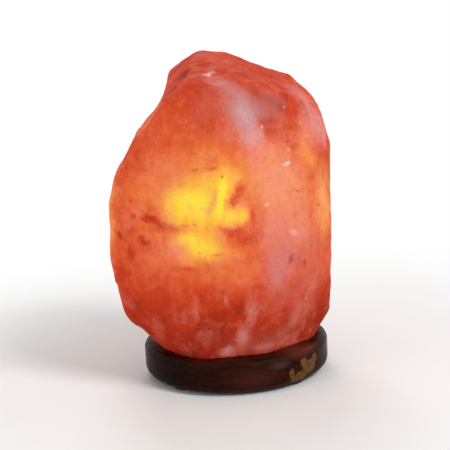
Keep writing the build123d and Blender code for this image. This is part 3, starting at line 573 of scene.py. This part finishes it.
def salt():
    """Rock salt with its light from inside painted as emission: the painted light picks a colour from rust
    red to yellow.
    """
    tree = Tree("lit_salt")
    swirl = tree.drift(24, 3, 0.55)
    curl = tree.drift(5, 4, 0.65)
    bent = tree.moved((swirl, SWIRL_BEND), (curl, CURL_BEND))
    frayed = tree.moved((swirl, SWIRL_FRAY), (curl, CURL_FRAY))
    bent, frayed = ((place, tree.crossed(place)) for place in (bent, frayed))

    def add_spots(value, rows, place):
        for centre, radii, turn, soft, amount in rows:
            value = tree.math("ADD", value, tree.spot(place, centre, radii, turn, soft, amount))
        return value

    # The painted light that gets through: noise, height and painted glows, less what rusty seams hold back.
    wisps = tree.noise(1, 5, 0.75, place=tree.stretch((5, 5, 11)))
    light = tree.ramp(wisps, 0.3, 0.7, -0.03, 0.03)
    light = tree.math("ADD", light, tree.ramp(tree.noise(26, 4, 0.6), 0.3, 0.7, -0.06, 0.06, smooth=False))
    light = tree.math("ADD", light, tree.ramp(tree.noise(7, 4, 0.7), 0.3, 0.7, -0.04, 0.04, smooth=False))
    height = tree.split(bent[0])[2]
    light = tree.math("ADD", light, LIGHT_BY_HEIGHT[0][1])
    for (low, start), (high, end) in zip(LIGHT_BY_HEIGHT, LIGHT_BY_HEIGHT[1:]):
        light = tree.math("ADD", light, tree.ramp(height, low, high, 0.0, end - start, smooth=False))
    light = add_spots(light, PAINTED_GLOWS, bent)
    rust = tree.ramp(tree.noise(1, 5, 0.7, place=tree.stretch((18, 18, 7))), 0.58, 0.72, 0.0, 0.30)
    rust = tree.math("MINIMUM", add_spots(rust, SEAMS, frayed), 1.0)
    rust = tree.math("MULTIPLY", rust, tree.ramp(tree.noise(3, 4, 0.7), 0.35, 0.6, 0.55, 1.1))
    light = tree.math("SUBTRACT", light, tree.math("MULTIPLY", rust, RUST_SHADE))
    seen = tree.colours(light, *SALT_COLOURS)

    # Milky salt, with fine grooves near the foot, then the clouds and the painted glints.
    milk = tree.ramp(tree.noise(14, 5, 0.7), 0.48, 0.72, 0.0, 0.34)
    milky = tree.colours(tree.ramp(height, *MILK_HEIGHTS), *MILK_COLOURS)
    milk = tree.math("MULTIPLY", milk, tree.ramp(height, 188, 212, 1.0, 0.3))
    seen = tree.mix(milk, seen, milky)
    grooves = tree.noise(1, 4, 0.6, place=tree.stretch((3, 3, 14)))
    streaks = tree.math("MULTIPLY", tree.ramp(grooves, 0.42, 0.70), tree.ramp(height, 40, 78, 1.5, 0.0))
    seen = tree.mix(tree.math("MULTIPLY", streaks, milk), seen, STREAK_COLOUR)
    thread = tree.ramp(wisps, 0.3, 0.6, 0.6, 1.15)
    # Clouds, and painted shade, mixed over the colour.
    for centre, radii, turn, soft, amount, colour in CLOUDS_AND_PAINTED_SHADE:
        share = tree.spot(bent, centre, radii, turn, soft, amount)
        seen = tree.mix(tree.math("MULTIPLY", share, thread), seen, colour)
    # Painted highlights: pale glints painted into the colour.
    for centre, radii, turn, soft, amount, colour in PAINTED_GLINTS:
        seen = tree.mix(tree.spot(frayed, centre, radii, turn, soft, amount), seen, colour)

    # Dark grains in loose groups, pits and the marks, some of which are painted shade.
    dark = tree.ramp(tree.noise(1.5, 3, 0.6), 0.60, 0.72, 0.0, 0.7)
    dark = tree.math("MULTIPLY", dark, tree.ramp(tree.noise(13, 4, 0.7), 0.52, 0.66))
    pits = tree.noise(2.2, 4, 0.65)
    dark = tree.math("MAXIMUM", dark, tree.ramp(pits, 0.46, 0.70, 0.0, 0.14))
    for centre, radii, turn, amount in MARKS_AND_PAINTED_SHADE:
        dark = tree.math("MAXIMUM", dark, tree.spot(frayed, centre, radii, turn, 0.8, amount))
    seen = tree.mix(dark, seen, GRAIN_SHADE, "MULTIPLY")

    own = tree.mix(1.0, seen, SURFACE_SHADE, "MULTIPLY")
    relief = tree.bump(grooves, 0.12)
    relief = tree.bump(pits, 0.20, relief)
    gloss = tree.ramp(tree.noise(9, 4, 0.6), 0.35, 0.7, 0.45, 0.68)
    return tree.finish(
        Base_Color=own, Emission_Color=seen, Emission_Strength=PAINTED_GLOW_STRENGTH, Roughness=gloss, IOR=1.54,
        Specular_IOR_Level=0.02, Normal=relief)


def stained_wood():
    """Turned wood with its grain along X, dark stain, worn places, a painted highlight, painted red glow and
    painted shade, and a pale patch of sapwood.
    """
    tree = Tree("stained_wood")
    place = tree.moved((tree.drift(30, 2), GRAIN_SWAY))
    grain = tree.noise(1, 5, 0.65, place=tree.stretch((26, 2.4, 2.4), place))
    pores = tree.noise(1, 3, 0.6, place=tree.stretch((9, 0.7, 0.7), place))
    colour = tree.colours(grain, *STAINED_COLOURS)
    colour = tree.mix(tree.ramp(pores, 0.52, 0.68, 0.0, 0.3), colour, PORE_COLOUR)
    edge = tree.moved((tree.drift(6, 4, 0.7), PATCH_FRAY))
    edge, still = ((place, tree.crossed(place)) for place in (edge, tree.place))
    # Scuffs, and a painted highlight, red glow and shade.
    for centre, radii, tone in SCUFFS_AND_PAINTED_LIGHT:
        colour = tree.mix(tree.spot(still, centre, radii, 0, 1.0, 0.6), colour, tone)
    patch = 0.0
    for centre, radii, turn in SAPWOOD:
        patch = tree.math("MAXIMUM", patch, tree.spot(edge, centre, radii, turn, 0.4))
    for centre, radii, turn in HEARTWOOD:
        patch = tree.math("SUBTRACT", patch, tree.spot(edge, centre, radii, turn, 0.3), clamp=True)
    colour = tree.mix(patch, colour, tree.colours(grain, *SAPWOOD_COLOURS))
    shine = tree.ramp(tree.noise(12, 3), 0.3, 0.7, 0.26, 0.42)
    relief = tree.bump(pores, 0.08)
    relief = tree.bump(grain, 0.12, relief)
    return tree.finish(Base_Color=colour, Roughness=shine, Normal=relief, Specular_IOR_Level=0.03)


def metal(name, light, dark, roughness, grain=(6, 6, 0.5), scratch=0.04):
    """Worked metal: tarnish in clouds, and fine marks along the way it was drawn or turned."""
    tree = Tree(name)
    cloud = tree.noise(7, 4, 0.6)
    marks = tree.noise(1, 3, 0.6, place=tree.stretch(grain))
    tarnish = tree.math("ADD", cloud, tree.math("MULTIPLY", marks, 0.3))
    colour = tree.colours(tarnish, (0.45, dark), (0.85, light))
    rough = tree.ramp(marks, 0.3, 0.7, roughness - 0.08, roughness + 0.1)
    return tree.finish(Base_Color=colour, Metallic=1.0, Roughness=rough, Normal=tree.bump(marks, scratch))


def plastic(name, colour, worn, roughness, pitting=0.05, size=1.2):
    """Moulded plastic, ceramic or rubber: a fine texture, and patches that wear left another shade."""
    tree = Tree(name)
    shade = tree.mix(tree.ramp(tree.noise(9, 4, 0.6), 0.35, 0.75, 0.0, 0.8), colour, worn)
    skin = tree.noise(size, 3, 0.6)
    rough = tree.ramp(tree.noise(5, 3), 0.3, 0.7, roughness - 0.07, roughness + 0.09)
    return tree.finish(Base_Color=shade, Roughness=rough, Normal=tree.bump(skin, pitting))


def glass(name, roughness):
    """Clear glass with a faint film and ripple."""
    tree = Tree(name)
    film = tree.ramp(tree.noise(8, 4, 0.6), 0.45, 0.7, roughness, roughness + 0.10)
    tint = tree.colours(tree.noise(14, 2), (0.3, (250, 250, 248)), (0.7, (240, 243, 242)))
    ripple = tree.bump(tree.noise(5, 2), 0.05)
    return tree.finish(Base_Color=tint, Roughness=film, Transmission_Weight=1.0, IOR=1.5, Normal=ripple)


def hot_wire(name):
    """Wire hot enough to give light, unevenly along its length."""
    tree = Tree(name)
    heat = tree.colours(tree.noise(3, 2), (0.3, (255, 196, 96)), (0.7, (255, 226, 150)))
    wear = tree.ramp(tree.noise(0.5, 2), 0.3, 0.7, 0.3, 0.5)
    return tree.finish(
        Base_Color=heat, Metallic=1.0, Roughness=wear, Emission_Color=heat, Emission_Strength=5.0)


def dress():
    """Gives every CAD node that still shows its material."""
    steel = metal("zinc_steel", (196, 198, 204), (132, 134, 140), 0.34)
    brass = metal("brass", (222, 184, 104), (150, 112, 52), 0.30)
    spring = metal("spring_steel", (150, 152, 158), (84, 86, 92), 0.32, (0.6, 8, 8))
    cap = metal("cap_aluminium", (206, 206, 208), (150, 150, 154), 0.36, (8, 8, 0.6))
    solder = metal("solder", (190, 192, 196), (128, 130, 136), 0.40, (1.5, 1.5, 1.5), 0.10)
    wire = metal("nickel_wire", (170, 166, 160), (110, 106, 102), 0.35, (0.5, 0.5, 3))
    shell = plastic("phenolic", (30, 29, 30), (52, 51, 52), 0.42)
    socket = plastic("socket_moulding", (226, 222, 210), (206, 198, 180), 0.38)
    nylon = plastic("white_nylon", (222, 220, 212), (200, 196, 184), 0.45)
    grey = plastic("grey_nylon", (140, 142, 146), (112, 114, 118), 0.5)
    rubber = plastic("black_rubber", (26, 26, 27), (58, 56, 54), 0.72, 0.12, 0.8)
    vitrite = plastic("cap_glass", (24, 24, 30), (44, 44, 54), 0.2, 0.03)
    cement = plastic("cap_cement", (196, 186, 160), (160, 148, 120), 0.85, 0.15, 0.6)
    wood = stained_wood()
    bulb_glass = glass("bulb_glass", 0.02)
    filament = hot_wire("hot_filament")
    plan = {
        wood: ["wooden_base"],
        rubber: ["rubber_feet"],
        steel: ["crystal_screws", "mounting_plate", "lock_nuts", "socket_bracket", "bracket_screw",
                "terminal_screws", "threaded_nipple"],
        grey: ["crystal_plugs"],
        spring: ["clip_left", "clip_right"],
        nylon: ["inlet_bush"],
        shell: ["lampholder_shell"],
        socket: ["socket_insulator"],
        brass: ["centre_contact", "side_contact", "terminal_blocks", "thread_sleeve"],
        cap: ["bulb_cap"],
        solder: ["bulb_solder_tip"],
        vitrite: ["bulb_cap_insulator"],
        cement: ["cap_cement"],
        bulb_glass: ["bulb_glass", "bulb_stem"],
        wire: ["bulb_lead_wires", "bulb_support_wire"],
        filament: ["bulb_filament"],
    }
    for material, names in plan.items():
        for name in names:
            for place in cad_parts[name].material_slots:
                place.material = material


# ---------------------------------------------------------------------------------------------------------
# Stage, lights and camera
# ---------------------------------------------------------------------------------------------------------

SHADOW_REACH = 130          # millimetres from the axis to where the floor starts to turn white
STUDIO_REACH = 420          # and to where it is as white as the studio
EVEN_LIGHT = 0.42           # the world's strength as a light
LAMP_AIM = (0, 0, 0.1)      # in metres, in the stone's lower half


def seen_or_mirrored(nodes, links):
    """1 for what the camera sees straight, mirrored or through glass, and 0 for what only gives light."""
    path = nodes.new("ShaderNodeLightPath").outputs
    seen = path["Is Camera Ray"]
    for name in ("Is Glossy Ray", "Is Transmission Ray"):
        either = nodes.new("ShaderNodeMath")
        either.operation = "MAXIMUM"
        links.new(seen, either.inputs[0])
        links.new(path[name], either.inputs[1])
        seen = either.outputs[0]
    return seen


def make_floor():
    """A pale floor that takes the lamp's shadow near it and runs out into the white studio."""
    half = 1.6
    corners = [(-half, -half, 0), (half, -half, 0), (half, half, 0), (-half, half, 0)]
    mesh = bpy.data.meshes.new("floor")
    mesh.from_pydata(corners, [], [(0, 1, 2, 3)])
    floor = bpy.data.objects.new("floor", mesh)
    bpy.context.collection.objects.link(floor)
    tree = Tree("pale_floor")
    shade = tree.colours(tree.noise(60, 2), (0.3, (247, 247, 246)), (0.7, (249, 249, 248)))
    far = tree.ramp(tree.vector("LENGTH", tree.place), SHADOW_REACH, STUDIO_REACH)
    white = tree.math("MULTIPLY", seen_or_mirrored(tree.nodes, tree.links), far)
    mesh.materials.append(tree.finish(
        Base_Color=tree.mix(white, shade, (0, 0, 0)), Roughness=0.9, Specular_IOR_Level=0.0,
        Emission_Color=tree.shade(white), Emission_Strength=1.0))


def make_world():
    """White to the camera, in mirrors and through clear glass, and a plain even light on everything else."""
    world = bpy.data.worlds.new("studio")
    bpy.context.scene.world = world
    world.use_nodes = True
    nodes, links = world.node_tree.nodes, world.node_tree.links
    level = nodes.new("ShaderNodeMapRange")
    links.new(seen_or_mirrored(nodes, links), level.inputs["Value"])
    level.inputs["To Min"].default_value = EVEN_LIGHT
    level.inputs["To Max"].default_value = 1.0
    links.new(level.outputs[0], nodes["Background"].inputs["Strength"])
    nodes["Background"].inputs["Color"].default_value = (1, 1, 1, 1)


def add_lamp(name, place, size, watts):
    """A round lamp of `size` metres, turned to the stone."""
    light = bpy.data.lights.new(name, "AREA")
    light.shape = "DISK"
    light.size = size
    light.energy = watts
    lamp = bpy.data.objects.new(name, light)
    bpy.context.collection.objects.link(lamp)
    lamp.location = place
    lamp.rotation_euler = (Vector(LAMP_AIM) - Vector(place)).to_track_quat("-Z", "Y").to_euler()


def make_camera():
    """A long lens in front of the lamp, a little above it, rolled as the photograph's was."""
    distance, elevation, roll = 0.9, math.radians(11.5), math.radians(3.18)
    centre = Vector((0, 0, 0.110))
    aim = Vector((-0.0032, 0, 0.1048))
    data = bpy.data.cameras.new("camera")
    data.sensor_width = 36.0
    data.lens = 102.8
    camera = bpy.data.objects.new("camera", data)
    bpy.context.collection.objects.link(camera)
    place = centre + distance * Vector((0, -math.cos(elevation), math.sin(elevation)))
    turn = (aim - place).to_track_quat("-Z", "Y").to_matrix().to_4x4()
    camera.matrix_world = Matrix.Translation(place) @ turn @ Matrix.Rotation(-roll, 4, "Z")
    bpy.context.scene.camera = camera


# ---------------------------------------------------------------------------------------------------------
# The scene
# ---------------------------------------------------------------------------------------------------------

bpy.context.scene.view_settings.view_transform = "Standard"

stone = make_stone()
stone.data.materials.clear()
stone.data.materials.append(salt())
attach(stone, "root")
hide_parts("salt_crystal")

dress()
make_floor()
make_world()
add_lamp("key", (1.0, -1.0, 1.3), size=0.7, watts=18)
add_lamp("fill", (-1.2, -0.9, 0.7), size=0.9, watts=2.5)
add_lamp("back", (-0.2, 1.3, 1.2), size=0.9, watts=9)
make_camera()
